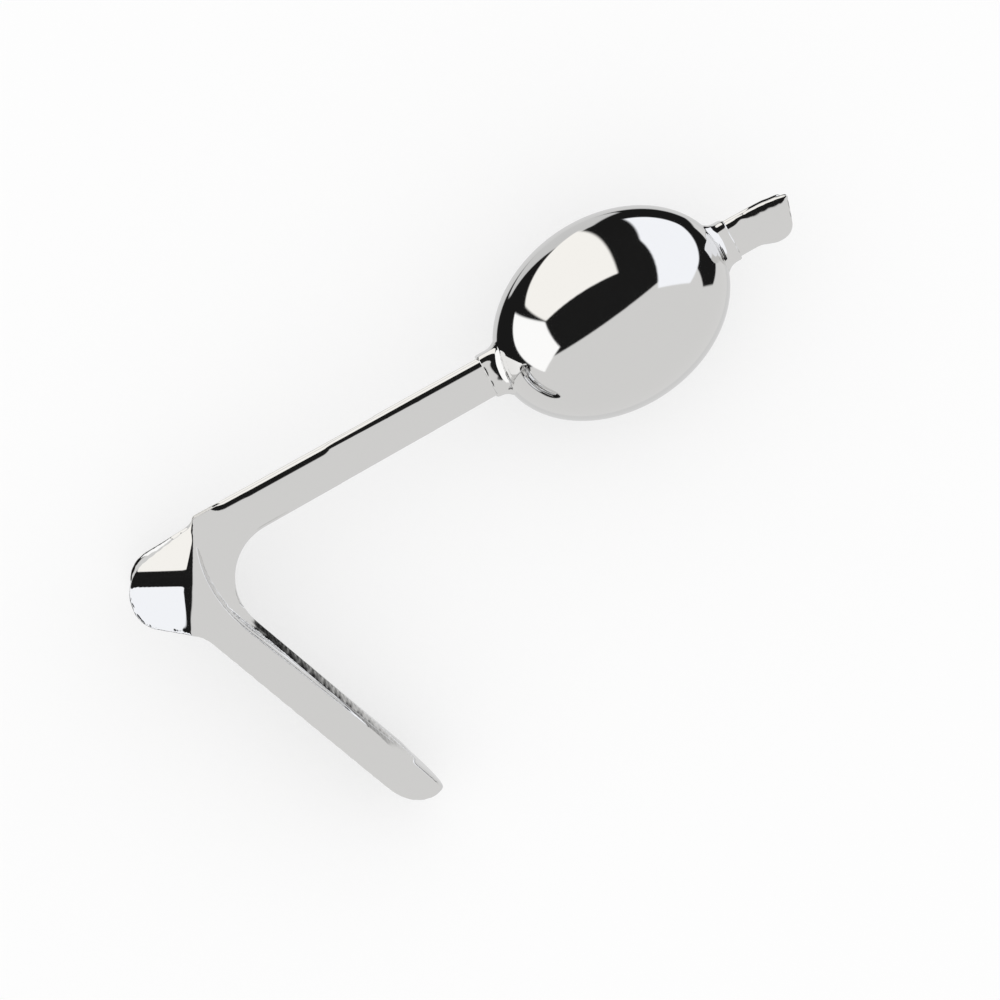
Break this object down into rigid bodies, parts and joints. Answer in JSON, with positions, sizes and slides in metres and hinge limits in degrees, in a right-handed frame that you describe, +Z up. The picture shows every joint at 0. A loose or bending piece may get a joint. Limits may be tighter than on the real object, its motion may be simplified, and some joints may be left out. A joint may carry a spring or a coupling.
{
  "type": "weighted vaginal speculum",
  "caption": "Weighted vaginal speculum: a trough blade with a flared mouth, a grooved bar with a spout, and an egg-shaped weight round the bar.",
  "frame": {"origin": "middle of the part's box in plan, on the surface that it lies on", "axes": "+X along the bar from the mouth to the spout, +Y away from the blade, +Z up from the surface that it lies on"},
  "size_m": [0.228, 0.1298, 0.0579],
  "materials": {
    "forged_steel": "mirror-polished stainless steel",
    "cast_steel": "mirror-polished stainless steel"
  },
  "bodies": {
    "root": {"speculum_body": "forged_steel", "weight": "cast_steel"}
  },
  "joints": []
}
